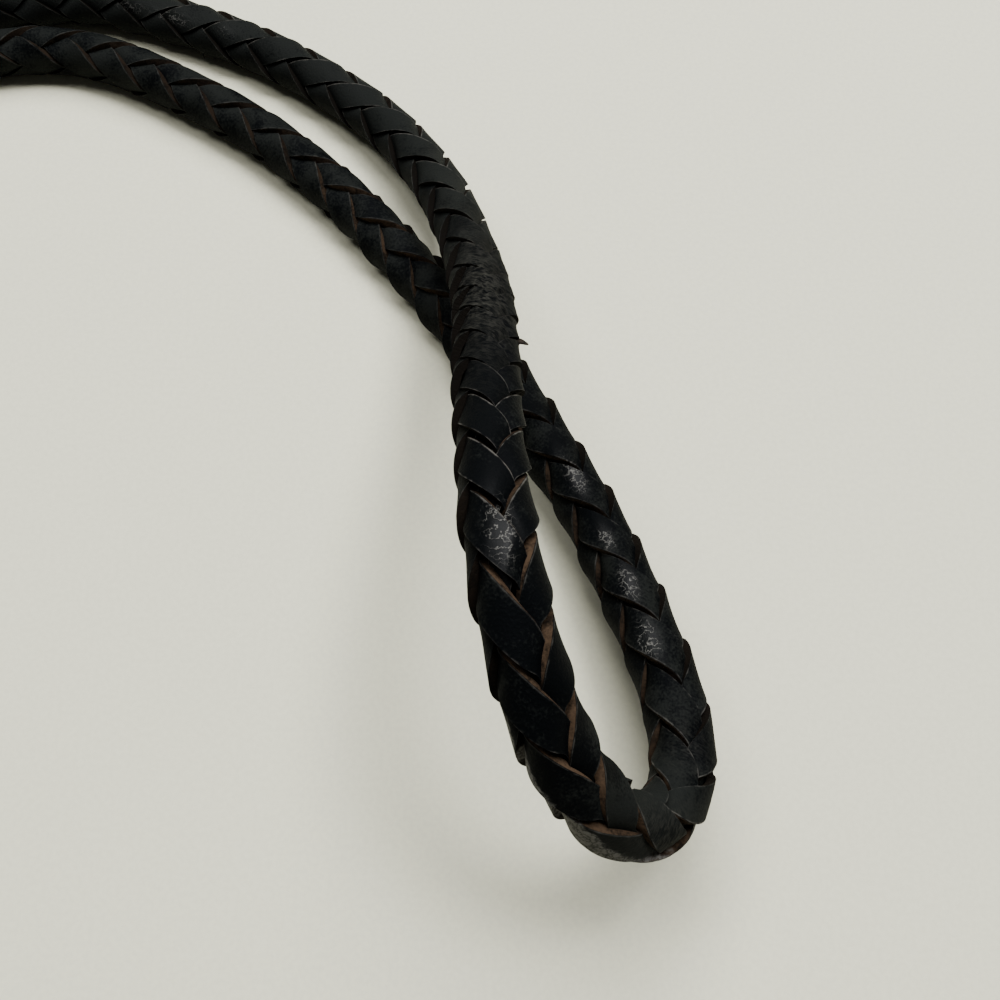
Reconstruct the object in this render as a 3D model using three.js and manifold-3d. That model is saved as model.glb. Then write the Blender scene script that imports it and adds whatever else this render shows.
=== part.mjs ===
// A bolo tie lying on a table: one braided leather cord folded into a neck loop, a slide that
// both runs of the cord pass through, and a metal tip on each end. Millimetres, +Z up.
import * as THREE from 'three';
import { mergeVertices } from 'three/addons/utils/BufferGeometryUtils.js';
import Module from 'manifold-3d';

// Cord
const CORD_RADIUS = 3.0;
const CORD_SIDES = 12;
const CORD_STEPS = 84;
const BEND_LENGTH = 40;
const SAMPLES_PER_POINT = 20;

// Where the cord lies, from the first tip through the slide, round the lifted neck loop, under
// itself, back through the slide and on to the second tip: [x, y, z] of its middle.
const CORD_ROUTE = [
  [32, -86.5, 4], [10, -86.5, 4], [-46, -78, 3.2], [-69.75, -45.5, 3.3],
  [-69.75, -22.5, 4.1], [-69.75, 27.5, 4.1],
  [-69.75, 48.5, 3.3], [-54, 77, 3.1], [-25, 87.5, 3], [-4.6, 82, 3],
  [10.1, 74.4, 3.1], [22.4, 63.9, 4], [29.6, 51.9, 7.6], [33.8, 38.6, 13.5],
  [36.1, 25.5, 20.5], [36.7, 12.5, 27.6], [37.3, -1, 32.6], [38.5, -10.5, 33.4],
  [40.4, -18.3, 30.8], [43.1, -24.5, 25.9], [46.8, -28.6, 21], [51.2, -30.1, 16.6],
  [54.9, -27.8, 13.1], [56.6, -22.3, 10.7], [55.8, -15.1, 9.2], [53.3, -6.7, 7.8],
  [47.6, 8.1, 5], [35.5, 29.2, 3.2], [26.1, 42.5, 3], [14.1, 55.8, 3],
  [0.1, 67, 3], [-24, 77.9, 3], [-46.5, 71.5, 3.1], [-60.25, 48.5, 3.3],
  [-60.25, 27.5, 4.1], [-60.25, -22.5, 4.1],
  [-60.25, -45.5, 3.3], [-44, -67.5, 3.1], [-2, -75.5, 3.2], [29.2, -72.5, 4], [50.2, -70.5, 4],
];

// Slide: an oval plate on a flat-backed block with two bores
const SLIDE_X = -65;
const SLIDE_Y = 2.5;
const BORE_SPACING = 9.5;
const BORE_HEIGHT = 4.1;
const BORE_RADIUS = 3.5;
const BORE_SIDES = 16;
const BLOCK_WIDTH = 21;
const BLOCK_LENGTH = 34;
const BLOCK_CORNER = 4;
const BLOCK_CORNER_STEPS = 4;
const PLATE_WIDTH = 36;
const PLATE_LENGTH = 48;
const PLATE_BOTTOM = 8.4;
const PLATE_SEGMENTS = 48;
const RIM_HEIGHT = 2.4;
const RIM_INSET = 0.12;
const RIM_FOOT = 0.94;
const RIM_ROUNDING = 0.3;
const RIM_DROP = 0.35;
const CREST_START = 0.35;
const CREST_END = 0.7;
const DOME_HEIGHT = 4.6;
const DOME_STEPS = 5;

// Tips: a sleeve over the cord's end, running out into a tapered point
const TIP_SEGMENTS = 24;
const SOCKET_RADIUS = 3.4;
const SOCKET_DEPTH = 12;
const SLEEVE_RADIUS = 4.0;
const COLLAR_LENGTH = 2.2;
const NECK_RADIUS = 3.6;
const POINT_RADIUS = 1.5;
const POINT_LENGTH = 33;
const FACE_GAP = 0.3;
const COLLAR_STEP = 0.4;
const NECK_END = 1;
const TAPER_GAP = 0.6;
const POINT_SHOULDER = 0.7;
const POINT_DROP = 0.3;

const leather = new THREE.MeshStandardMaterial({ color: 0x1c1d20, roughness: 0.6, metalness: 0 });
const metal = new THREE.MeshStandardMaterial({ color: 0xb9b6ae, roughness: 0.35, metalness: 1 });

// A curve that counts each radian of bend as BEND_LENGTH of extra length, so that even steps
// along it crowd together where the cord turns sharply.
class CordCurve extends THREE.CatmullRomCurve3 {
  getLengths(divisions = SAMPLES_PER_POINT * this.points.length) {
    if (!this.cacheArcLengths) {
      const lengths = [0];
      for (let i = 1; i <= divisions; i += 1) {
        const [before, after] = [(i - 1) / divisions, i / divisions];
        const run = this.getPoint(before).distanceTo(this.getPoint(after));
        const bend = this.getTangent(before).angleTo(this.getTangent(after));
        lengths.push(lengths[i - 1] + run + BEND_LENGTH * bend);
      }
      this.cacheArcLengths = lengths;
    }
    return this.cacheArcLengths;
  }
}

function roundSection(radius, sides) {
  const corners = [];
  for (let i = 0; i < sides; i += 1) {
    const turn = (2 * Math.PI * i) / sides;
    corners.push(new THREE.Vector2(radius * Math.cos(turn), radius * Math.sin(turn)));
  }
  return new THREE.Shape(corners);
}

function cordGeometry(route) {
  return new THREE.ExtrudeGeometry(roundSection(CORD_RADIUS, CORD_SIDES), {
    extrudePath: route,
    steps: CORD_STEPS,
    bevelEnabled: false,
  });
}

// The plate's section from its axis out, round the raised rim and up over the dome, as a share
// of the plate's half width and a height.
function plateGeometry() {
  const rimTop = PLATE_BOTTOM + RIM_HEIGHT;
  const domeFoot = rimTop - RIM_DROP * RIM_HEIGHT;
  const profile = [
    new THREE.Vector2(0, PLATE_BOTTOM),
    new THREE.Vector2(RIM_FOOT, PLATE_BOTTOM),
    new THREE.Vector2(1, PLATE_BOTTOM + RIM_ROUNDING * RIM_HEIGHT),
    new THREE.Vector2(1, rimTop - RIM_ROUNDING * RIM_HEIGHT),
    new THREE.Vector2(1 - CREST_START * RIM_INSET, rimTop),
    new THREE.Vector2(1 - CREST_END * RIM_INSET, rimTop),
    new THREE.Vector2(1 - RIM_INSET, domeFoot),
  ];
  const domeRise = PLATE_BOTTOM + DOME_HEIGHT - domeFoot;
  for (let i = 1; i <= DOME_STEPS; i += 1) {
    const turn = (Math.PI / 2) * (i / DOME_STEPS);
    const share = i === DOME_STEPS ? 0 : (1 - RIM_INSET) * Math.cos(turn);
    profile.push(new THREE.Vector2(share, domeFoot + domeRise * Math.sin(turn)));
  }
  const plate = new THREE.LatheGeometry(profile, PLATE_SEGMENTS);
  plate.rotateX(Math.PI / 2);
  plate.scale(PLATE_WIDTH / 2, PLATE_LENGTH / 2, 1);
  return plate;
}

function blockGeometry() {
  const x = BLOCK_WIDTH / 2;
  const y = BLOCK_LENGTH / 2;
  const c = BLOCK_CORNER;
  const outline = new THREE.Shape();
  outline.moveTo(-x + c, -y);
  outline.lineTo(x - c, -y);
  outline.absarc(x - c, -y + c, c, -Math.PI / 2, 0);
  outline.lineTo(x, y - c);
  outline.absarc(x - c, y - c, c, 0, Math.PI / 2);
  outline.lineTo(-x + c, y);
  outline.absarc(-x + c, y - c, c, Math.PI / 2, Math.PI);
  outline.lineTo(-x, -y + c);
  outline.absarc(-x + c, -y + c, c, Math.PI, 1.5 * Math.PI);
  return new THREE.ExtrudeGeometry(outline, {
    depth: PLATE_BOTTOM + RIM_HEIGHT / 2,
    curveSegments: BLOCK_CORNER_STEPS,
    bevelEnabled: false,
  });
}

function boreGeometry(x) {
  const bore = new THREE.CylinderGeometry(BORE_RADIUS, BORE_RADIUS, 2 * BLOCK_LENGTH, BORE_SIDES);
  bore.translate(x, 0, BORE_HEIGHT);
  return bore;
}

const WELD_DISTANCE = 1e-4;

const wasm = await Module();
wasm.setup();

function toSolid(geometry) {
  const bare = geometry.index ? geometry.clone() : geometry;
  bare.deleteAttribute('normal');
  bare.deleteAttribute('uv');
  const merged = mergeVertices(bare, WELD_DISTANCE);
  return new wasm.Manifold(new wasm.Mesh({
    numProp: 3,
    vertProperties: new Float32Array(merged.attributes.position.array),
    triVerts: new Uint32Array(merged.index.array),
  }));
}

function toGeometry(solid) {
  const mesh = solid.getMesh();
  const geometry = new THREE.BufferGeometry();
  geometry.setAttribute('position', new THREE.BufferAttribute(mesh.vertProperties, 3));
  geometry.setIndex(new THREE.BufferAttribute(mesh.triVerts, 1));
  geometry.computeVertexNormals();
  return geometry;
}

function slideGeometry() {
  let slide = toSolid(plateGeometry()).add(toSolid(blockGeometry()));
  for (const side of [-1, 1]) {
    slide = slide.subtract(toSolid(boreGeometry((side * BORE_SPACING) / 2)));
  }
  return toGeometry(slide);
}

// The tip's section, with the socket's floor just clear of the cord's end at y = 0.
function tipGeometry() {
  const collarStart = FACE_GAP + NECK_END + COLLAR_STEP;
  const collarEnd = collarStart + COLLAR_LENGTH;
  return new THREE.LatheGeometry([
    new THREE.Vector2(0, FACE_GAP),
    new THREE.Vector2(SOCKET_RADIUS, FACE_GAP),
    new THREE.Vector2(SOCKET_RADIUS, -SOCKET_DEPTH),
    new THREE.Vector2(SLEEVE_RADIUS, -SOCKET_DEPTH),
    new THREE.Vector2(SLEEVE_RADIUS, COLLAR_LENGTH - SOCKET_DEPTH),
    new THREE.Vector2(NECK_RADIUS, COLLAR_LENGTH - SOCKET_DEPTH + COLLAR_STEP),
    new THREE.Vector2(NECK_RADIUS, collarStart - COLLAR_STEP),
    new THREE.Vector2(SLEEVE_RADIUS, collarStart),
    new THREE.Vector2(SLEEVE_RADIUS, collarEnd),
    new THREE.Vector2(NECK_RADIUS - COLLAR_STEP, collarEnd + TAPER_GAP),
    new THREE.Vector2(POINT_RADIUS, POINT_LENGTH - POINT_RADIUS),
    new THREE.Vector2(POINT_SHOULDER * POINT_RADIUS, POINT_LENGTH - POINT_DROP * POINT_RADIUS),
    new THREE.Vector2(0, POINT_LENGTH),
  ], TIP_SEGMENTS);
}

const tie = new THREE.Group();

const route = new CordCurve(CORD_ROUTE.map((point) => new THREE.Vector3(...point)));
const cord = new THREE.Mesh(cordGeometry(route), leather);
cord.name = 'braided_cord';
tie.add(cord);

const slide = new THREE.Mesh(slideGeometry(), metal);
slide.name = 'slide';
slide.position.set(SLIDE_X, SLIDE_Y, 0);
tie.add(slide);

for (const [number, end] of [[1, 0], [2, 1]]) {
  const outward = route.getTangent(end).multiplyScalar(end === 0 ? -1 : 1);
  const tip = new THREE.Mesh(tipGeometry(), metal);
  tip.name = `tip_${number}`;
  tip.position.copy(route.getPoint(end));
  tip.quaternion.setFromUnitVectors(new THREE.Vector3(0, 1, 0), outward);
  tie.add(tip);
}

export default tie;
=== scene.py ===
import math

import bmesh
import bpy
import numpy as np
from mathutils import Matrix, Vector


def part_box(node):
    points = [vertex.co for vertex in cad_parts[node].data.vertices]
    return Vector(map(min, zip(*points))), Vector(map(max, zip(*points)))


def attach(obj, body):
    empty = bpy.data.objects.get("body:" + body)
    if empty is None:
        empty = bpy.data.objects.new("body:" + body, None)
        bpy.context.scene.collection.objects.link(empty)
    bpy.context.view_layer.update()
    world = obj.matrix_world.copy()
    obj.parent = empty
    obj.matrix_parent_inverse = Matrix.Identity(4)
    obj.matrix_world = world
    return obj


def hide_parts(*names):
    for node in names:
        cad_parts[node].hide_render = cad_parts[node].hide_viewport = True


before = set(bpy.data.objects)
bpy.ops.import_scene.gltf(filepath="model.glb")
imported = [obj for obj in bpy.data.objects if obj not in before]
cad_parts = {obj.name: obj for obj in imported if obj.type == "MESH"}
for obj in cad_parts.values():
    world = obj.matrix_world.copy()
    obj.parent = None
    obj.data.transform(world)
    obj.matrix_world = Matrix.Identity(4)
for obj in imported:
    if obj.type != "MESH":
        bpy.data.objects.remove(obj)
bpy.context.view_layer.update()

# Camera
# It looks steeply down and straight away from the viewer on to the lifted end of the neck loop,
# close enough that the cord's tails, the slide and the tips lie outside the picture.
CAMERA_PLACE = (0.038, -0.04354, 0.1273)
CAMERA_DIP = math.radians(67)
SENSOR_MM = 36.0
FOCAL_IN_PICTURES = 1.15
NEAREST_SEEN = 0.005

camera_data = bpy.data.cameras.new("camera")
camera_data.sensor_fit = "HORIZONTAL"
camera_data.sensor_width = SENSOR_MM
camera_data.lens = SENSOR_MM * FOCAL_IN_PICTURES
camera_data.clip_start = NEAREST_SEEN
camera = bpy.data.objects.new("camera", camera_data)
camera.location = CAMERA_PLACE
camera.rotation_euler = (math.pi / 2 - CAMERA_DIP, 0, 0)
bpy.context.collection.objects.link(camera)
bpy.context.scene.camera = camera

# Braided cord
# A round herringbone of eight flat black leather laces, four winding each way, each going over two
# and under two. It has no core. One length runs from tip to tip, folded into the neck loop.
ROUTE_MM = [
    (32, -86.5, 4), (10, -86.5, 4), (-46, -78, 3.2), (-69.75, -45.5, 3.3),
    (-69.75, -22.5, 4.1), (-69.75, 27.5, 4.1),
    (-69.75, 48.5, 3.3), (-54, 77, 3.1), (-25, 87.5, 3), (-4.6, 82, 3),
    (10.1, 74.4, 3.1), (22.4, 63.9, 4), (29.6, 51.9, 7.6), (33.8, 38.6, 13.5),
    (36.1, 25.5, 20.5), (36.7, 12.5, 27.6), (37.3, -1, 32.6), (38.5, -10.5, 33.4),
    (40.4, -18.3, 30.8), (43.1, -24.5, 25.9), (46.8, -28.6, 21), (51.2, -30.1, 16.6),
    (54.9, -27.8, 13.1), (56.6, -22.3, 10.7), (55.8, -15.1, 9.2), (53.3, -6.7, 7.8),
    (47.6, 8.1, 5), (35.5, 29.2, 3.2), (26.1, 42.5, 3), (14.1, 55.8, 3),
    (0.1, 67, 3), (-24, 77.9, 3), (-46.5, 71.5, 3.1), (-60.25, 48.5, 3.3),
    (-60.25, 27.5, 4.1), (-60.25, -22.5, 4.1),
    (-60.25, -45.5, 3.3), (-44, -67.5, 3.1), (-2, -75.5, 3.2), (29.2, -72.5, 4), (50.2, -70.5, 4),
]
MM = 0.001
CORD_DIAMETER = 6.0
ROUTE_SAMPLES = 60
ROUTE_STEP = 0.25
ROUTE_EASE = 12

# How the braid lies along the cord: place in mm from the first tip, then its value there.
# V_COUNT numbers the Vs of the herringbone and ROLL turns the braid on its middle in degrees.
# SWELL is how far it has fluffed out, OPENED and RUBBED how far the cut edges have opened or been
# rubbed, and FADED how much of the dye has gone. SHINGLE lifts one edge of a lace above the other,
# for each way of winding. PRESSED flattens the laces that wind left, between which the others
# stand out.
V_COUNT = [
    (0, 0), (302, 45.1), (336.5, 49.94), (351.25, 51.8), (372.5, 54.64), (385.75, 57.52),
    (400, 60.56), (412.3, 62.72), (433.5, 65.72), (469.6, 70.72), (496.6, 74.64), (509.4, 76.52),
    (547.9, 82.4), (576.6, 86.4), (864, 128.6),
]
COUNT_EASE = 14
ROLL = [
    (0, -105), (335, -105), (350, -116), (362, -125), (384, -125), (396, -114), (404, -106),
    (430, -105), (466, -56.6), (496, -54.6), (546, -18.6), (864, -18.6),
]
SWELL = [
    (0, 1), (300, 1.02), (395, 1.02), (408, 1.06), (425, 1.08), (505, 1.06), (545, 1.03), (600, 1.02),
    (640, 1), (863, 1),
]
OPENED = [
    (0, 0.06), (368, 0.08), (376, 0.12), (394, 0.12), (402, 0.35), (408, 0.7), (415, 1), (436, 1),
    (450, 0.6), (463, 0.38), (515, 0.35), (530, 0.6), (542, 0.6), (552, 0.2), (864, 0.1),
]
SHINGLE = {
    1: [(0, 0.16), (290, 0.16), (310, -0.15), (345, -0.14), (395, -0.14), (410, -0.15), (442, -0.2),
        (463, -0.05), (473, -0.22), (535, -0.22), (556, 0.1), (864, 0.16)],
    -1: [(0, 0.16), (330, 0.16), (345, -0.05), (365, 0), (395, 0), (410, -0.2), (442, -0.2),
         (463, 0.1), (864, 0.16)],
}
PRESSED = [(0, 0), (364, 0), (372, 1), (394, 1), (402, 0), (864, 0)]
RUBBED = [
    (0, 0.25), (290, 0.3), (305, 0.6), (350, 0.6), (366, 0.3), (374, 0.1), (394, 0.2), (400, 1),
    (407, 1), (416, 0.35), (442, 0.35), (452, 0.7), (470, 0.4), (500, 0.25), (864, 0.25),
]
FADED = [
    (0, 0.9), (345, 0.95), (365, 0.45), (392, 0.05), (410, 0.15), (424, 0.15), (436, 0.3), (443, 1.2),
    (447, 1.2), (452, 0.6), (457, 0.4), (470, 0.42), (510, 0.36), (545, 0.55), (864, 0.9),
]

LACES_EACH_WAY = 4
LACE_WIDTH = 3.95
LACE_THICK = 0.9
LACE_HOLLOW = 0.14
LACE_CORNER = 0.07
MIDDLE_RADIUS = 2.18
WEAVE_RISE = 0.55
WEAVE_CRISP = 1.7

# Places that wear has marked, some of them also painted with light: mm from the first tip, side that
# it faces in degrees, how far it reaches along the cord and round it, and how strong it is.
# The crumpled stretches are wrinkled in shape, and their wrinkles carry painted light: ridges painted
# pale, partly wear and partly painted sheen, with painted shade in the creases between.
CRUMPLED = [(380, -8, 11, 70, 1), (457, -105, 4, 40, 0.3), (446, -45, 4, 45, 0.5)]
SCUFFED = [
    (430, 72, 4, 18, 0.8), (434, 62, 4, 20, 0.9), (438, 52, 4, 22, 1), (443, 38, 4, 22, 1),
    (440, 26, 4, 16, 0.75), (448, 14, 4, 20, 0.8), (453, -10, 4, 20, 0.6),
]
# The crackled places have a glossy, cracked finish, with pale flecks in the cracks that are partly
# whitish cracks and partly painted glints.
CRACKLED_AND_GLINTING = [
    (290, 41, 3, 22, 0.5), (297, 35, 3, 20, 0.6), (305, 25, 2, 18, 0.4), (413, -12, 2.8, 26, 1),
    (491.9, -117, 2.6, 18, 1), (482.8, -125, 1.6, 14, 1), (476.8, -123, 2.2, 16, 1),
    (470.1, -130, 2.4, 18, 1),
]


def eased(rows, ease):
    """Evenly spaced rows smoothed along their first axis, with both ends kept."""
    reach = 4 * ease
    weights = np.exp(-0.5 * (np.arange(-reach, reach + 1) / ease) ** 2)
    weights /= weights.sum()
    before = 2 * rows[0] - rows[reach:0:-1]
    after = 2 * rows[-1] - rows[-2:-reach - 2:-1]
    padded = np.vstack([before, rows, after])
    smooth = [np.convolve(padded[:, i], weights, "valid") for i in range(rows.shape[1])]
    return np.stack(smooth, axis=1)


def smooth_route(points):
    """A centripetal Catmull-Rom curve through the points, eased a little, at even steps."""
    points = np.array(points, dtype=float)
    ends = np.vstack([2 * points[0] - points[1], points, 2 * points[-1] - points[-2]])
    t = np.linspace(0, 1, ROUTE_SAMPLES, endpoint=False)[:, None]
    runs = []
    for a, b, c, d in zip(ends, ends[1:], ends[2:], ends[3:]):
        ab = np.linalg.norm(b - a) ** 0.5
        bc = np.linalg.norm(c - b) ** 0.5
        cd = np.linalg.norm(d - c) ** 0.5
        leave = ((b - a) / ab - (c - a) / (ab + bc) + (c - b) / bc) * bc
        reach = ((c - b) / bc - (d - b) / (bc + cd) + (d - c) / cd) * bc
        runs.append(
            b + leave * t + (3 * c - 3 * b - 2 * leave - reach) * t**2
            + (2 * b - 2 * c + leave + reach) * t**3
        )
    curve = np.vstack(runs + [points[-1:]])
    along = np.r_[0, np.cumsum(np.linalg.norm(np.diff(curve, axis=0), axis=1))]
    steps = np.arange(0, along[-1], ROUTE_STEP)
    even = np.stack([np.interp(steps, along, curve[:, i]) for i in range(3)], axis=1)
    return eased(even, ROUTE_EASE)


middle = smooth_route(ROUTE_MM)
along_cord = np.r_[0, np.cumsum(np.linalg.norm(np.diff(middle, axis=0), axis=1))]
heading = np.gradient(middle, along_cord, axis=0)
heading /= np.linalg.norm(heading, axis=1)[:, None]
bending = np.gradient(heading, along_cord, axis=0)
side = np.zeros_like(heading)
carried = np.array((0.0, 0.0, 1.0))
for step, ahead in enumerate(heading):
    carried = carried - ahead * carried.dot(ahead)
    carried /= np.linalg.norm(carried)
    side[step] = carried
cross_side = np.cross(heading, side)


def from_table(table, place):
    return np.interp(place, [row[0] for row in table], [row[1] for row in table])


v_count = eased(from_table(V_COUNT, along_cord)[:, None], COUNT_EASE)[:, 0]
winding = 0.5 * math.pi * v_count
pitch = 1 / np.gradient(v_count, along_cord)
roll = np.radians(from_table(ROLL, along_cord))


def at_place(values, place):
    return np.stack([np.interp(place, along_cord, values[:, i]) for i in range(3)], axis=-1)


NOISE_VALUES = 4096


def wander(seed, place, step):
    """Smooth noise between -1 and 1 along a line, the same for the same seed, one value a step."""
    values = np.random.default_rng(seed).uniform(-1, 1, NOISE_VALUES)
    knot = place / step
    cell = np.floor(knot).astype(int)
    part = knot - cell
    part = part * part * (3 - 2 * part)
    return values[cell % NOISE_VALUES] * (1 - part) + values[(cell + 1) % NOISE_VALUES] * part


# The leans are shares of the lace's half width. The edge that was cut square took up some dye.
CUT_LEAN = 0.2
SQUARE_LEAN = 0.03
TOP_CORNER_LEAN = 0.75
SQUARE_CUT_BROWN = 0.1
SQUARE_CUT_RUBS = 0.85
EDGE_RUBS = 0.4
RUBS_FROM = 0.75
TOP_PLACES = (-1.0, -0.84, -0.6, -0.3, 0.0, 0.3, 0.6, 0.84, 1.0)
UNDER_PLACES = (0.92, 0.0, -0.92)
UNDER_RAW = 0.65


def lace_section(way):
    """Points round a lace: share of its half width, height, cut edge, upper corner and raw colour.

    The edge nearer the first tip was cut at a slant after dyeing, so that it shows brown."""
    half = LACE_THICK / 2
    edge_top = half + 0.5 * LACE_HOLLOW - LACE_CORNER
    lean = {way: CUT_LEAN, -way: SQUARE_LEAN}
    brown = {way: 1.0, -way: SQUARE_CUT_BROWN}
    rubs = {way: 1.0, -way: SQUARE_CUT_RUBS}
    top = []
    for w in TOP_PLACES:
        end = 1 if w > 0 else -1
        corner = max(0.0, (abs(w) - RUBS_FROM) / (1 - RUBS_FROM)) * rubs[end]
        top.append((w * (1 - lean[end]), half + LACE_HOLLOW * (w * w - 0.5), 0.0, corner, 0.0))
    edges = {}
    for end in (1, -1):
        out = end * (1 - TOP_CORNER_LEAN * lean[end])
        edges[end] = [
            (out, edge_top, 1.0, EDGE_RUBS, brown[end]),
            (end, LACE_CORNER - half, 1.0, 0.0, brown[end]),
        ]
    under = [(w, -half, UNDER_RAW * abs(w), 0.0, SQUARE_CUT_BROWN) for w in UNDER_PLACES]
    return np.array(top + edges[1] + under + edges[-1][::-1])


SEEN_RUN = (262, 610)
ROWS_SEEN = 15
ROWS_UNSEEN = 7


def lace_rows(first, last):
    """Winding angles of the lace's rows, closer together in the stretch that faces the camera."""
    rows = [first]
    while rows[-1] < last:
        place = np.interp(rows[-1], winding, along_cord)
        seen = SEEN_RUN[0] < place < SEEN_RUN[1]
        rows.append(rows[-1] + 0.25 * math.pi / (ROWS_SEEN if seen else ROWS_UNSEEN))
    return np.array(rows[:-1])


def wear_and_painted_light(marks, place, turn):
    """How strongly the marked places mark each point with wear and, for some of them, painted light,
    from 0 to 1.
    """
    amount = np.zeros_like(place)
    for at, facing, reach, spread, strength in marks:
        away = (turn - math.radians(facing) + math.pi) % (2 * math.pi) - math.pi
        away = away / math.radians(spread)
        amount += strength * np.exp(-(((place - at) / reach) ** 2) - away**2)
    return np.clip(amount, 0, 1)


MAP_STRIPS = 12
MAP_GAP = 0.05
MAP_CAP = 0.4


def unroll(mesh, points):
    """Maps a lace as level strips, one above another, with its two ends beside each other on top."""
    rows, corners = points.shape[:2]
    sides = np.linalg.norm(np.roll(points, -1, axis=1) - points, axis=2).mean(axis=0)
    girth = np.r_[0, np.cumsum(sides)] / sides.sum()
    row = np.repeat(np.arange(rows - 1), corners)
    corner = np.tile(np.arange(corners), rows - 1)
    in_strip = math.ceil((rows - 1) / MAP_STRIPS)
    start = (row % in_strip) / in_strip
    end = (row % in_strip + 1) / in_strip
    strip = row // in_strip
    low = strip + MAP_GAP + (1 - 2 * MAP_GAP) * girth[corner]
    high = strip + MAP_GAP + (1 - 2 * MAP_GAP) * girth[corner + 1]
    u = np.stack([start, start, end, end], axis=-1).ravel()
    v = np.stack([low, high, high, low], axis=-1).ravel() / (MAP_STRIPS + 1)
    turn = np.linspace(0, 2 * math.pi, corners, endpoint=False)
    cap = MAP_CAP / (MAP_STRIPS + 1) * np.stack([np.cos(turn), np.sin(turn)], axis=-1)
    middle_row = 1 - 0.5 / (MAP_STRIPS + 1)
    spots = [np.stack([u, v], axis=-1), cap + (0.25, middle_row), cap + (0.75, middle_row)]
    layer = mesh.uv_layers.new(name="OFBake")
    layer.data.foreach_set("uv", np.vstack(spots).astype(np.float32).ravel())


# How each lace departs from an even braid: seed, amount, and the length in mm that it varies over.
UNEVEN = {
    "width": (1, 0.05, 5.0), "drift": (2, 0.025, 7.0), "lift": (3, 0.07, 4.0), "tilt": (4, 0.4, 6.0),
    "surface": (5, 0.02, 0.7), "edge": (6, 0.04, 0.9),
}
END_MARGIN = 0.225 * math.pi
BEND_OPENS = 0.4
MOST_STRETCH = 0.5
GAP_CLOSED = 0.02
GAP_OPENED = 0.2
PRESSED_WIDER = 0.1
PRESSED_FLATTER = 0.45
STANDS_OUT = -0.7
BROWN_RISES = 1.5
BROWN_BURIED = 0.12
LIFT_ON_TABLE = 0.2
LIFTED_BELOW = (1.0, 7.0)
LYING_BELOW = (5.0, 9.0)
TABLE_CLEAR = 0.02


def fading(height, limits):
    """1 below the lower limit, 0 above the upper one and an even change in between."""
    return np.clip((limits[1] - height) / (limits[1] - limits[0]), 0, 1)


CREASE_DEPTH = 0.14
CREASE_SEED = 90
RIDGE_SLANT = 0.35
RIDGE_STEP = 0.34
BREAK_SLANT = 0.3
BREAK_STEP = 0.9
BREAK_SHARE = 0.6
RIPPLE_SLANT = 0.2
RIPPLE_STEP = 0.45
RIPPLE_SHARE = 0.7


def crease_height(place, around):
    """Wrinkles that run across the cord at a slant, broken up and crossed by fainter ripples."""
    ridge = 1 - 2 * np.abs(wander((CREASE_SEED, 1), place + RIDGE_SLANT * around, RIDGE_STEP))
    breaks = 1 + wander((CREASE_SEED, 3), around - BREAK_SLANT * place, BREAK_STEP)
    ridge = ridge * BREAK_SHARE * breaks
    ripple = RIPPLE_SHARE * wander((CREASE_SEED, 2), place - RIPPLE_SLANT * around, RIPPLE_STEP)
    return CREASE_DEPTH * (ridge + ripple)


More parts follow.
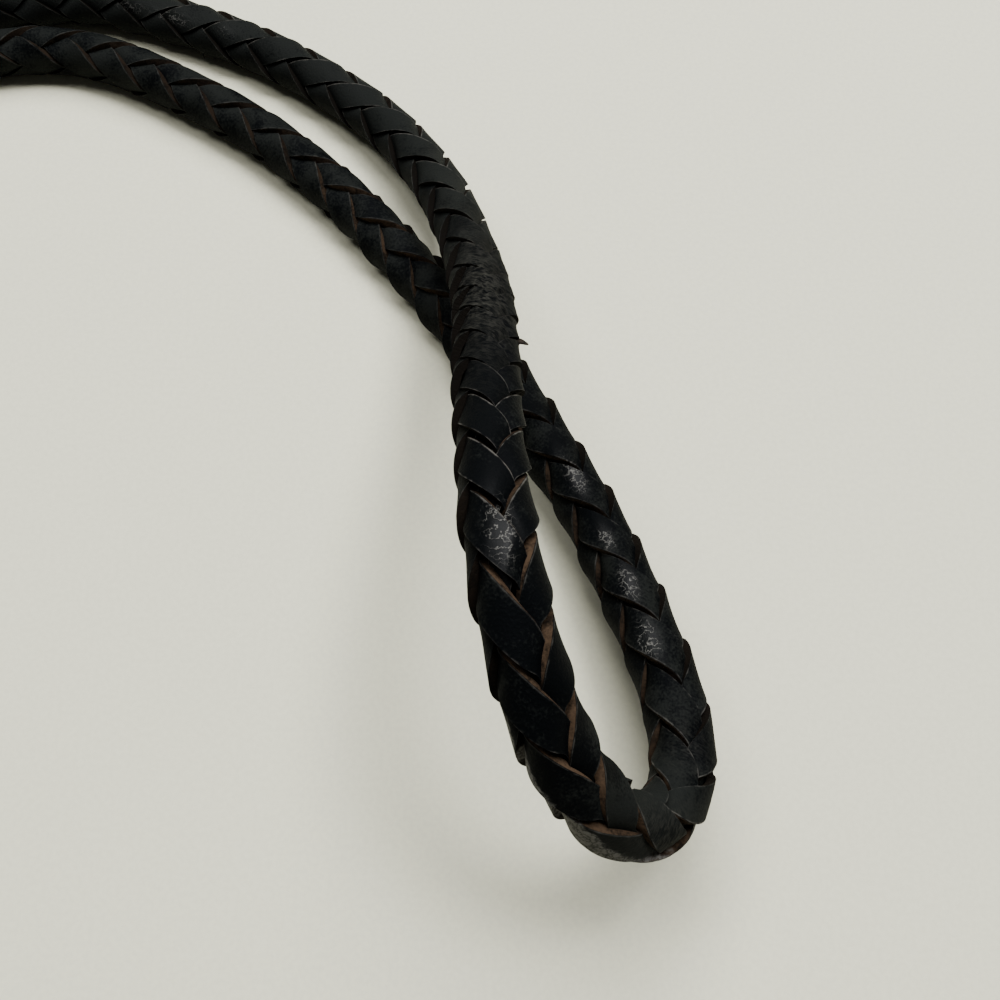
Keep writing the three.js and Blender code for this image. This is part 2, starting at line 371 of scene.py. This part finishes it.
def lace_shape(way, number):
    """The lace's points in mm, row by row and round its section, and what wear has left on them, with
    the painted light on the wrinkles and the painted glints in the crackled places.
    """
    own = 10 * number + (5 if way > 0 else 1)
    section = lace_section(way)
    rows = lace_rows(winding[0] + END_MARGIN, winding[-1] - END_MARGIN)
    row_place = np.interp(rows, winding, along_cord)
    uneven = {
        name: amount * wander((own, seed), row_place, length)
        for name, (seed, amount, length) in UNEVEN.items()
    }
    crossing = number + way * 4 * rows / math.pi
    level = way * np.tanh(WEAVE_CRISP * np.cos((number + crossing - 0.5) * math.pi / 2))
    level /= math.tanh(WEAVE_CRISP)

    # How far the bend opens or closes the braid at each row, and how well the lace fills its share
    turn = (number + crossing) * math.pi / 4 + np.interp(row_place, along_cord, roll)
    outward = np.cos(turn)[:, None] * at_place(side, row_place)
    outward += np.sin(turn)[:, None] * at_place(cross_side, row_place)
    stretch = 1 - CORD_DIAMETER / 2 * (at_place(bending, row_place) * outward).sum(axis=1)
    quarter = math.pi / 4 * CORD_DIAMETER
    local_pitch = np.interp(row_place, along_cord, pitch) * stretch
    spacing = local_pitch * quarter / np.hypot(local_pitch, quarter)
    fill = np.minimum(LACE_WIDTH / spacing, 1.0)
    fill /= 1 + BEND_OPENS * np.clip(stretch - 1, 0, MOST_STRETCH)
    fill *= 1 + uneven["width"]
    pressed = from_table(PRESSED, row_place) * (1 if way < 0 else STANDS_OUT)
    fill *= 1 + PRESSED_WIDER * pressed
    fill *= 1 - (GAP_CLOSED + GAP_OPENED * from_table(OPENED, row_place)) * (1 - np.abs(level))

    # Where each point lies along the cord, round it and out from its middle
    across = 0.5 * fill[:, None] * section[:, 0] + uneven["drift"][:, None]
    phase = rows[:, None] - way * across * math.pi / 4
    place = np.interp(phase, winding, along_cord)
    turn = (number + across + crossing[:, None]) * math.pi / 4
    turn = turn + np.interp(place, along_cord, roll)
    around = CORD_DIAMETER / 2 * turn
    rise = WEAVE_RISE * level * (1 - PRESSED_FLATTER * pressed) + uneven["lift"]
    tilt = from_table(SHINGLE[way], row_place) * (1 + uneven["tilt"]) * np.clip(level, 0, 1)
    on_top = np.clip(section[:, 1] / LACE_THICK + 0.5, 0, 1)
    crumple = wear_and_painted_light(CRUMPLED, place, turn)
    radius = MIDDLE_RADIUS + rise[:, None] + section[:, 1] + tilt[:, None] * way * 2 * across
    radius = radius + (crumple * crease_height(place, around) + uneven["surface"][:, None]) * on_top
    radius = radius + uneven["edge"][:, None] * section[:, 2]
    radius = radius * from_table(SWELL, place)

    points = at_place(middle, place)
    lying = fading(points[..., 2], LYING_BELOW)
    points += (radius * np.cos(turn))[..., None] * at_place(side, place)
    points += (radius * np.sin(turn))[..., None] * at_place(cross_side, place)
    points[..., 2] += LIFT_ON_TABLE * lying * fading(points[..., 2], LIFTED_BELOW)
    points[..., 2] = np.maximum(points[..., 2], TABLE_CLEAR)

    brown = np.clip(BROWN_RISES * level, BROWN_BURIED, 1)[:, None] * section[:, 4]
    marks = {
        "raw_edge": np.tile(section[:, 2], (len(rows), 1)),
        "corner": np.tile(section[:, 3], (len(rows), 1)),
        "opened": from_table(OPENED, place) * brown,
        "rubbed": from_table(RUBBED, place),
        "faded": from_table(FADED, place),
        "along": place,
        "around": around,
        # The crumpled and crackled marks also carry painted light into the shading.
        "crumpled": crumple,
        "scuffed": wear_and_painted_light(SCUFFED, place, turn),
        "crackled_and_glinting": wear_and_painted_light(CRACKLED_AND_GLINTING, place, turn),
    }
    return points, marks


SHARP_ANGLE = math.radians(35)


def smooth_shaded(mesh):
    """Smooth shading with edges kept where two faces meet at a sharp angle."""
    mesh.polygons.foreach_set("use_smooth", np.ones(len(mesh.polygons), dtype=bool))
    mesh.set_sharp_from_angle(angle=SHARP_ANGLE)
    return mesh


def lace_mesh(name, way, number):
    points, marks = lace_shape(way, number)
    index = np.arange(points[..., 0].size).reshape(points.shape[:2])
    here = index[:-1]
    ahead = index[1:]
    corners = [here, np.roll(here, -1, axis=1), np.roll(ahead, -1, axis=1), ahead]
    quads = np.stack(corners, axis=-1).reshape(-1, 4)
    faces = quads.tolist() + [index[0, ::-1].tolist(), index[-1].tolist()]
    mesh = bpy.data.meshes.new(name)
    mesh.from_pydata((points.reshape(-1, 3) * MM).tolist(), [], faces)
    unroll(mesh, points)
    for mark, values in marks.items():
        layer = mesh.attributes.new(mark, "FLOAT", "POINT")
        layer.data.foreach_set("value", values.ravel().astype(np.float32))
    return smooth_shaded(mesh)


def linked(name, mesh):
    piece = bpy.data.objects.new(name, mesh)
    bpy.context.collection.objects.link(piece)
    return piece


class Wire:
    """One socket of a finish's node tree. Operators on it add Math nodes."""

    def __init__(self, finish, socket):
        self.finish = finish
        self.socket = socket

    def math(self, operation, first, second):
        return self.finish.node("ShaderNodeMath", {"operation": operation}, {0: first, 1: second})

    def __add__(self, other):
        return self.math("ADD", self, other)

    __radd__ = __add__

    def __sub__(self, other):
        return self.math("SUBTRACT", self, other)

    def __rsub__(self, other):
        return self.math("SUBTRACT", other, self)

    def __mul__(self, other):
        return self.math("MULTIPLY", self, other)

    __rmul__ = __mul__

    def __pow__(self, other):
        return self.math("POWER", self, other)

    def off(self, middle):
        """How far the value lies from the middle, either way."""
        return self.finish.node("ShaderNodeMath", {"operation": "ABSOLUTE"}, {0: self - middle})

    def between(self, low, high):
        """0 below low, 1 above high and a smooth step in between."""
        return self.finish.node(
            "ShaderNodeMapRange", {"interpolation_type": "SMOOTHSTEP"},
            {"Value": self, "From Min": low, "From Max": high},
        )


class Finish:
    """A material and its nodes, around one Principled shader."""

    def __init__(self, name):
        self.material = bpy.data.materials.new(name)
        self.material.use_nodes = True
        self.tree = self.material.node_tree
        self.shader = self.tree.nodes["Principled BSDF"]

    def node(self, kind, settings=None, sockets=None, output=0):
        made = self.tree.nodes.new(kind)
        for name, value in (settings or {}).items():
            setattr(made, name, value)
        self.feed(made, sockets or {})
        return Wire(self, made.outputs[output])

    def feed(self, node, sockets):
        for name, value in sockets.items():
            if isinstance(value, Wire):
                self.tree.links.new(value.socket, node.inputs[name])
            else:
                node.inputs[name].default_value = value

    def surface(self, sockets):
        self.feed(self.shader, sockets)
        return self.material

    def place(self):
        return self.node("ShaderNodeTexCoord", output="Object")

    def mark(self, name):
        return self.node("ShaderNodeAttribute", {"attribute_name": name}, output="Fac")

    def noise(self, size, detail, where=None):
        sockets = {"Vector": where or self.place(), "Scale": 1 / size, "Detail": detail}
        return self.node("ShaderNodeTexNoise", {}, sockets)

    def mixed(self, share, first, second):
        sockets = {0: share, 6: first, 7: second}
        return self.node("ShaderNodeMix", {"data_type": "RGBA"}, sockets, output=2)

    def bump(self, height, depth):
        return self.node("ShaderNodeBump", {}, {"Height": height, "Distance": depth})


DYED_DEEP = (0.0011, 0.0015, 0.0019, 1)
DYED_PALE = (0.0078, 0.0088, 0.0081, 1)
# Pale grey on the wrinkle ridges: partly wear, partly painted sheen.
RIDGE_WEAR_AND_SHEEN_GREY = (0.026, 0.0255, 0.022, 1)
EDGE_GREY = (0.075, 0.071, 0.063, 1)
# Pale grey of the scuffs, also painted into the cracks as glints.
SCUFF_AND_GLINT_GREY = (0.125, 0.122, 0.112, 1)
RAW_DARK = (0.0036, 0.0030, 0.0024, 1)
RAW_BROWN = (0.047, 0.030, 0.0185, 1)

GRAIN_SIZE = 0.00028
PATCH_SIZE = 0.0009
CRACK_SIZE = 0.0008
CRACK_SHARPNESS = 16
FIBRE_SIZE = 0.0016
CLOUD_SIZE = 0.0035
CREASES_PER_MM = 2.6
CREASE_BREAKS_PER_MM = 0.8
RELIEF_DEPTH = 0.00007

leather = Finish("black_dyed_lace")
raw_edge = leather.mark("raw_edge")
corner = leather.mark("corner")
opened = leather.mark("opened")
rubbed = leather.mark("rubbed")
faded = leather.mark("faded")
crumpled = leather.mark("crumpled")
scuffed = leather.mark("scuffed")
crackled_and_glinting = leather.mark("crackled_and_glinting")
along = leather.mark("along")
around = leather.mark("around")
grain = leather.noise(GRAIN_SIZE, detail=6.0)
cloud = leather.noise(CLOUD_SIZE, detail=3.0)
patches = leather.noise(PATCH_SIZE, detail=5.0)
cracks = (1 - leather.noise(CRACK_SIZE, detail=3.0).off(0.5) * 2) ** CRACK_SHARPNESS
crease_place = leather.node("ShaderNodeCombineXYZ", {}, {
    "X": along * CREASES_PER_MM + around,
    "Y": around * CREASE_BREAKS_PER_MM,
})
creases = 1 - leather.noise(1.0, detail=4.0, where=crease_place).off(0.5) * 4

# The dyed face, then its wrinkles, painted pale on the ridges as part wear and part painted sheen with
# painted shade in the creases, then rubbed corners, then crackled gloss with pale flecks in its
# cracks, part whitish cracks and part painted glints
dye_lost = 0.55 * cloud + 0.45 * grain + 0.3 * faded
dyed = leather.mixed(dye_lost.between(0.55, 0.75), DYED_DEEP, DYED_PALE)
# Painted light on the wrinkles: ridges pale, partly wear and partly painted sheen; creases in the
# deepest dye as painted shade.
ridge_wear_and_sheen = (creases * (0.5 + patches)).between(0.55, 1.2)
dyed = leather.mixed(crumpled, dyed, leather.mixed(ridge_wear_and_sheen, DYED_DEEP, RIDGE_WEAR_AND_SHEEN_GREY))
rubbed_corner = (corner * (0.25 + 1.5 * patches)).between(0.65, 1.15) * rubbed
dyed = leather.mixed(rubbed_corner, dyed, EDGE_GREY)
# Pale flecks in the cracks: partly whitish cracks, partly painted glints.
pale_cracks_and_glints = (crackled_and_glinting * cracks * (0.4 + patches)).between(0.1, 0.7)
dyed = leather.mixed(pale_cracks_and_glints, dyed, SCUFF_AND_GLINT_GREY)

# The raw cut edge, and scuffs over both
fibre = (0.6 * leather.noise(FIBRE_SIZE, detail=2.0) + 0.4 * grain).between(0.3, 0.6)
raw = leather.mixed(fibre * opened, RAW_DARK, RAW_BROWN)
lace_colour = leather.mixed(raw_edge.between(0.55, 0.9), dyed, raw)
scuffs = (scuffed * (0.1 + 1.4 * patches)).between(0.4, 0.75) * (1 - 0.85 * cracks)
lace_colour = leather.mixed(scuffs, lace_colour, SCUFF_AND_GLINT_GREY)
relief = grain + 1.6 * crackled_and_glinting * cracks + 0.9 * scuffed * patches + 2.0 * crumpled * creases
dyed_lace = leather.surface({
    "Base Color": lace_colour,
    "Roughness": 0.58 + 0.16 * grain + 0.2 * raw_edge - 0.22 * crackled_and_glinting,
    "Coat Weight": crackled_and_glinting * 0.1,
    "Coat Roughness": 0.3,
    "Normal": leather.bump(relief, RELIEF_DEPTH),
    "Specular IOR Level": 0.025,
})

for way, family in ((1, "right"), (-1, "left")):
    for number in range(LACES_EACH_WAY):
        name = f"lace_{family}_{number + 1}"
        lace = linked(name, lace_mesh(name, way, number))
        lace.data.materials.append(dyed_lace)
        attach(lace, "root")
        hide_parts("braided_cord")

# Frayed fibres
# Short ends of leather fibre that wear has pulled out of the laces' cut edges, where they are still
# rooted. Each row gives its place in mm from the first tip, the side that it is on in degrees, how
# far it stands out and leans along the cord, and its half width at the root.
FRAYED = [
    (386.6, -98, 1.1, 1.2, 0.5), (417.2, 78, 0.45, -0.3, 0.06),
    (416.4, 78, 0.4, 0.35, 0.05), (424.5, -98, 0.3, 0.35, 0.06), (399.6, -98, 0.3, 0.3, 0.08),
    (301, 122, 0.5, 0.5, 0.1),
]
FIBRE_ROOT = 2.5
FIBRE_BURIED = 0.7
FIBRE_SIDES = 8
FIBRE_STEPS = 7
FIBRE_TAPER = 0.8
FIBRE_BLUNTNESS = 2.5
FIBRE_FLATNESS = 0.55
STRAND_SIZE = 0.0002
STRAND_DEPTH = 0.00004
FIBRE_BROWN = (0.020, 0.0145, 0.0105, 1)


def fibre_mesh(name):
    """Tapered, flattened fibres that curve over as they leave the braid."""
    points = []
    faces = []
    ring = np.linspace(0, 2 * math.pi, FIBRE_SIDES, endpoint=False)
    for place, facing, out, lean, half_width in FRAYED:
        turn = math.radians(facing)
        ahead = at_place(heading, place)
        outward = math.cos(turn) * at_place(side, place) + math.sin(turn) * at_place(cross_side, place)
        first = len(points)
        for step in range(FIBRE_STEPS + 1):
            t = step / FIBRE_STEPS
            hub = at_place(middle, place) + outward * (FIBRE_ROOT + (FIBRE_BURIED + out) * t)
            hub = hub + ahead * lean * t**2
            run = outward * (FIBRE_BURIED + out) + ahead * lean * 2 * t
            run = run / np.linalg.norm(run)
            broad = ahead - run * ahead.dot(run)
            broad = broad / np.linalg.norm(broad)
            narrow = FIBRE_FLATNESS * np.cross(run, broad)
            width = half_width * (1 - FIBRE_TAPER * t**FIBRE_BLUNTNESS)
            points += [hub + width * (broad * math.cos(a) + narrow * math.sin(a)) for a in ring]
        for step in range(FIBRE_STEPS):
            low = first + step * FIBRE_SIDES
            for i in range(FIBRE_SIDES):
                j = (i + 1) % FIBRE_SIDES
                faces.append((low + i, low + j, low + FIBRE_SIDES + j, low + FIBRE_SIDES + i))
        faces.append(tuple(range(first + FIBRE_SIDES - 1, first - 1, -1)))
        faces.append(tuple(range(len(points) - FIBRE_SIDES, len(points))))
    mesh = bpy.data.meshes.new(name)
    mesh.from_pydata((np.array(points) * MM).tolist(), [], faces)
    return smooth_shaded(mesh)


fibre_finish = Finish("leather_fibre")
strands = fibre_finish.noise(STRAND_SIZE, detail=3.0)
fibres = linked("frayed_fibres", fibre_mesh("frayed_fibres"))
fibres.data.materials.append(fibre_finish.surface({
    "Base Color": fibre_finish.mixed(strands.between(0.35, 0.65), RAW_DARK, FIBRE_BROWN),
    "Roughness": 0.7 + 0.2 * strands,
    "Normal": fibre_finish.bump(strands, STRAND_DEPTH),
    "Specular IOR Level": 0.1,
}))
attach(fibres, "root")

# Tips
# A tapered metal sleeve over each end of the cord, turned from white metal with a satin finish.
# The braid is glued into its socket.
TIP_SEGMENTS = 72
SOCKET_RADIUS = 3.4
SOCKET_DEPTH = 12.0
FACE_GAP = 0.3
COLLAR_RADIUS = 4.0
COLLAR_LENGTH = 2.2
COLLAR_BULGE = 0.3
COLLAR_STEP = 0.2
COLLAR_ROUNDING = 10
NECK_RADIUS = 3.6
NECK_END = 1.2
TAPER_GAP = 0.6
TAPER_START = 3.2
POINT_RADIUS = 1.5
POINT_LENGTH = 33.0
POINT_START = 5
POINT_STEPS = 10
TIP_LAY = (0.06, 1, 1)
SCRATCH_SIZE = 0.00012
SCRATCH_DEPTH = 0.00001
TARNISH_SIZE = 0.006
SATIN_BRIGHT = (0.66, 0.64, 0.60, 1)
SATIN_DULL = (0.44, 0.42, 0.38, 1)


def arc(middle, radii, first, last, steps):
    """Points on an arc or part of an ellipse, with angles in degrees."""
    turn = np.radians(np.linspace(first, last, steps + 1))
    return [(middle[0] + radii[0] * math.cos(a), middle[1] + radii[1] * math.sin(a)) for a in turn]


def turned(name, profile, segments):
    """A solid turned about +Z from points (radius, height) that start and end on its axis."""
    ring = np.linspace(0, 2 * math.pi, segments, endpoint=False)
    points = [(0, 0, profile[0][1])]
    for radius, height in profile[1:-1]:
        points += [(radius * math.cos(a), radius * math.sin(a), height) for a in ring]
    points.append((0, 0, profile[-1][1]))
    last = len(points) - 1
    faces = []
    for i in range(segments):
        j = (i + 1) % segments
        faces.append((0, 1 + j, 1 + i))
        for row in range(1, last - segments, segments):
            faces.append((row + i, row + j, row + segments + j, row + segments + i))
        faces.append((last, last - segments + i, last - segments + j))
    mesh = bpy.data.meshes.new(name)
    mesh.from_pydata((np.array(points) * MM).tolist(), [], faces)
    return mesh


def satin_metal(name, lay):
    """White metal rubbed one way: lay squeezes the place so that fine scratches run along it."""
    metal = Finish(name)
    squeezed = metal.node(
        "ShaderNodeVectorMath", {"operation": "MULTIPLY"}, {0: metal.place(), 1: lay},
    )
    scratches = metal.noise(SCRATCH_SIZE, detail=3.0, where=squeezed)
    tarnish = metal.noise(TARNISH_SIZE, detail=4.0)
    brightness = (0.7 * tarnish + 0.3 * scratches).between(0.4, 0.62)
    return metal.surface({
        "Base Color": metal.mixed(brightness, SATIN_DULL, SATIN_BRIGHT),
        "Metallic": 1.0,
        "Roughness": 0.2 + 0.14 * scratches + 0.16 * tarnish,
        "Normal": metal.bump(scratches, SCRATCH_DEPTH),
    })


def collar(start):
    """The rounded outside of a collar that starts at a height and stands out from the sleeve."""
    hub = (COLLAR_RADIUS - COLLAR_BULGE, start + 0.5 * COLLAR_LENGTH)
    return arc(hub, (COLLAR_BULGE, 0.5 * COLLAR_LENGTH), -90, 90, COLLAR_ROUNDING)


neck_start = COLLAR_LENGTH - SOCKET_DEPTH + COLLAR_STEP
neck_end = FACE_GAP + NECK_END
taper_start = neck_end + COLLAR_STEP + COLLAR_LENGTH + TAPER_GAP
point_hub = (0, POINT_LENGTH - POINT_RADIUS)
tip_profile = [
    (0, FACE_GAP), (SOCKET_RADIUS, FACE_GAP), (SOCKET_RADIUS, -SOCKET_DEPTH),
    *collar(-SOCKET_DEPTH),
    (NECK_RADIUS, neck_start), (NECK_RADIUS, neck_end),
    *collar(neck_end + COLLAR_STEP),
    (TAPER_START, taper_start),
    *arc(point_hub, (POINT_RADIUS, POINT_RADIUS), POINT_START, 90, POINT_STEPS)[:-1],
    (0, POINT_LENGTH),
]
tip_metal = satin_metal("satin_tip", TIP_LAY)

for number, end in ((1, 0), (2, -1)):
    name = f"tip_sleeve_{number}"
    outward = Vector(heading[end] if end else -heading[end])
    mesh = turned(name, tip_profile, TIP_SEGMENTS)
    turn = outward.to_track_quat("Z", "Y").to_matrix().to_4x4()
    turn.translation = Vector(middle[end] * MM)
    mesh.transform(turn)
    mesh.materials.append(tip_metal)
    tip = linked(name, smooth_shaded(mesh))
    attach(tip, "root")
    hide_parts(f"tip_{number}")

# Slide
# The clasp that both runs of the cord pass through, cast in white metal with a satin finish: an oval
# domed plate with a raised rim, on a flat backed block with two flared bores.
BLOCK_HALF = (10.5, 17.0)
BLOCK_CORNER = 4.0
BLOCK_BEVEL = 0.5
BEVEL_ROUNDING = 0.3
BORE_SPACING = 9.5
BORE_HEIGHT = 4.1
BORE_RADIUS = 3.5
BORE_FLARE = 0.45
PLATE_BOTTOM = 8.4
RIM_HALF_HEIGHT = 1.2
RIM_SHARE = 0.06
RIM_STEPS = 18
DOME_SHARE = 0.88
DOME_FOOT = 1.3
DOME_STEPS = 24
SLIDE_SEGMENTS = 128
BORE_SEGMENTS = 48
FLARE_STEPS = 6
CORNER_STEPS = 10
SLIDE_LAY = (1, 0.06, 1)

slide_low, slide_high = (np.array(corner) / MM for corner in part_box("slide"))
slide_middle = (slide_low + slide_high) / 2
plate_half = (slide_high - slide_low) / 2
rim_middle = PLATE_BOTTOM + RIM_HALF_HEIGHT
dome_foot = PLATE_BOTTOM + DOME_FOOT * RIM_HALF_HEIGHT
dome_rise = slide_high[2] - dome_foot
plate_mesh = turned("slide_body", [
    (0, PLATE_BOTTOM),
    *arc((1 - RIM_SHARE, rim_middle), (RIM_SHARE, RIM_HALF_HEIGHT), -90, 150, RIM_STEPS),
    *arc((0, dome_foot), (DOME_SHARE, dome_rise), 0, 90, DOME_STEPS)[:-1],
    (0, slide_high[2]),
], SLIDE_SEGMENTS)


def block_mesh():
    """The block's rounded outline, drawn in a little at the bottom and run up into the plate."""
    halfway = BEVEL_ROUNDING * BLOCK_BEVEL
    levels = [(0, BLOCK_BEVEL), (halfway, halfway), (BLOCK_BEVEL, 0), (rim_middle, 0)]
    block = bmesh.new()
    rings = []
    for height, inset in levels:
        ring = []
        for x, y, first in ((1, 1, 0), (-1, 1, 90), (-1, -1, 180), (1, -1, 270)):
            hub = (x * (BLOCK_HALF[0] - BLOCK_CORNER), y * (BLOCK_HALF[1] - BLOCK_CORNER))
            radius = BLOCK_CORNER - inset
            for at in arc(hub, (radius, radius), first, first + 90, CORNER_STEPS):
                ring.append(block.verts.new(Vector((*at, height)) * MM))
        rings.append(ring)
    block.faces.new(rings[0][::-1])
    block.faces.new(rings[-1])
    for low, high in zip(rings, rings[1:]):
        for i in range(len(low)):
            j = (i + 1) % len(low)
            block.faces.new((low[i], low[j], high[j], high[i]))
    mesh = bpy.data.meshes.new("slide_block")
    block.to_mesh(mesh)
    block.free()
    return mesh


def carve(body, tool, operation):
    modifier = body.modifiers.new(tool.name, "BOOLEAN")
    modifier.operation = operation
    modifier.solver = "EXACT"
    modifier.object = tool
    depsgraph = bpy.context.evaluated_depsgraph_get()
    body_mesh = bpy.data.meshes.new_from_object(body.evaluated_get(depsgraph))
    body.modifiers.clear()
    body.data = body_mesh
    bpy.data.objects.remove(tool)


for vertex in plate_mesh.vertices:
    vertex.co.x *= plate_half[0]
    vertex.co.y *= plate_half[1]
slide = linked("slide_body", plate_mesh)
carve(slide, linked("slide_block", block_mesh()), "UNION")
flare_foot = BLOCK_HALF[1] - 2 * BORE_FLARE
flare_radius = BORE_RADIUS + BORE_FLARE
flare_size = (BORE_FLARE, 2 * BORE_FLARE)
bore_end = 2 * BLOCK_HALF[1]
bore_profile = [
    (0, -bore_end), (flare_radius, -bore_end),
    *arc((flare_radius, -flare_foot), flare_size, 270, 180, FLARE_STEPS),
    *arc((flare_radius, flare_foot), flare_size, 180, 90, FLARE_STEPS),
    (flare_radius, bore_end), (0, bore_end),
]
for away in (-0.5, 0.5):
    bore_mesh = turned("slide_bore", bore_profile, BORE_SEGMENTS)
    for vertex in bore_mesh.vertices:
        x, y, z = vertex.co
        vertex.co = (x + away * BORE_SPACING * MM, -z, y + BORE_HEIGHT * MM)
    carve(slide, linked("slide_bore", bore_mesh), "DIFFERENCE")
for vertex in slide.data.vertices:
    vertex.co.x += slide_middle[0] * MM
    vertex.co.y += slide_middle[1] * MM
slide.data.materials.append(satin_metal("satin_slide", SLIDE_LAY))
smooth_shaded(slide.data)
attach(slide, "root")
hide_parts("slide")

# Floor
# A plain pale warm grey table top with a fine matt grain.
FLOOR_HALF = 1.5
FLOOR_SHADE = (0.675, 0.665, 0.51, 1)
FLOOR_PALE = (0.715, 0.705, 0.54, 1)
SPECKLE_SIZE = 0.0006

floor_mesh = bpy.data.meshes.new("floor")
corners = [(x * FLOOR_HALF, y * FLOOR_HALF, 0) for x, y in ((-1, -1), (1, -1), (1, 1), (-1, 1))]
floor_mesh.from_pydata(corners, [], [(0, 1, 2, 3)])
floor = linked("floor", floor_mesh)
pale_top = Finish("pale_table_top")
speckle = pale_top.noise(SPECKLE_SIZE, detail=3.0)
floor_mesh.materials.append(pale_top.surface({
    "Base Color": pale_top.mixed(speckle.between(0.3, 0.7), FLOOR_SHADE, FLOOR_PALE),
    "Roughness": 0.7,
    "Specular IOR Level": 0.2,
}))

# Light
# A broad soft lamp overhead and behind, a smaller one on each side, and a faint even surround.
# Each lamp has its direction from the lit place, its distance, its size in metres and its power.
LAMPS = [
    ("lamp", (0.08, 0.58, 1.0), 0.8, (0.7, 0.6), 11.6),
    ("lamp_right", (0.4, 0.24, 1.0), 0.8, (0.26, 0.26), 4.0),
    ("lamp_left", (-0.5, 0.25, 1.0), 0.8, (0.25, 0.25), 1.8),
]
LIT_PLACE = Vector((0.038, 0.0, 0.0))
SURROUND_COLOUR = (1.0, 1.0, 0.98, 1)
SURROUND_STRENGTH = 0.05

for name, towards, reach, size, power in LAMPS:
    towards = Vector(towards).normalized()
    lamp_data = bpy.data.lights.new(name, "AREA")
    lamp_data.shape = "ELLIPSE"
    lamp_data.size, lamp_data.size_y = size
    lamp_data.energy = power
    lamp = bpy.data.objects.new(name, lamp_data)
    lamp.location = LIT_PLACE + reach * towards
    lamp.rotation_euler = towards.to_track_quat("Z", "Y").to_euler()
    bpy.context.collection.objects.link(lamp)
surround = bpy.data.worlds.new("surround")
surround.use_nodes = True
backdrop = surround.node_tree.nodes["Background"]
backdrop.inputs["Color"].default_value = SURROUND_COLOUR
backdrop.inputs["Strength"].default_value = SURROUND_STRENGTH
bpy.context.scene.world = surround
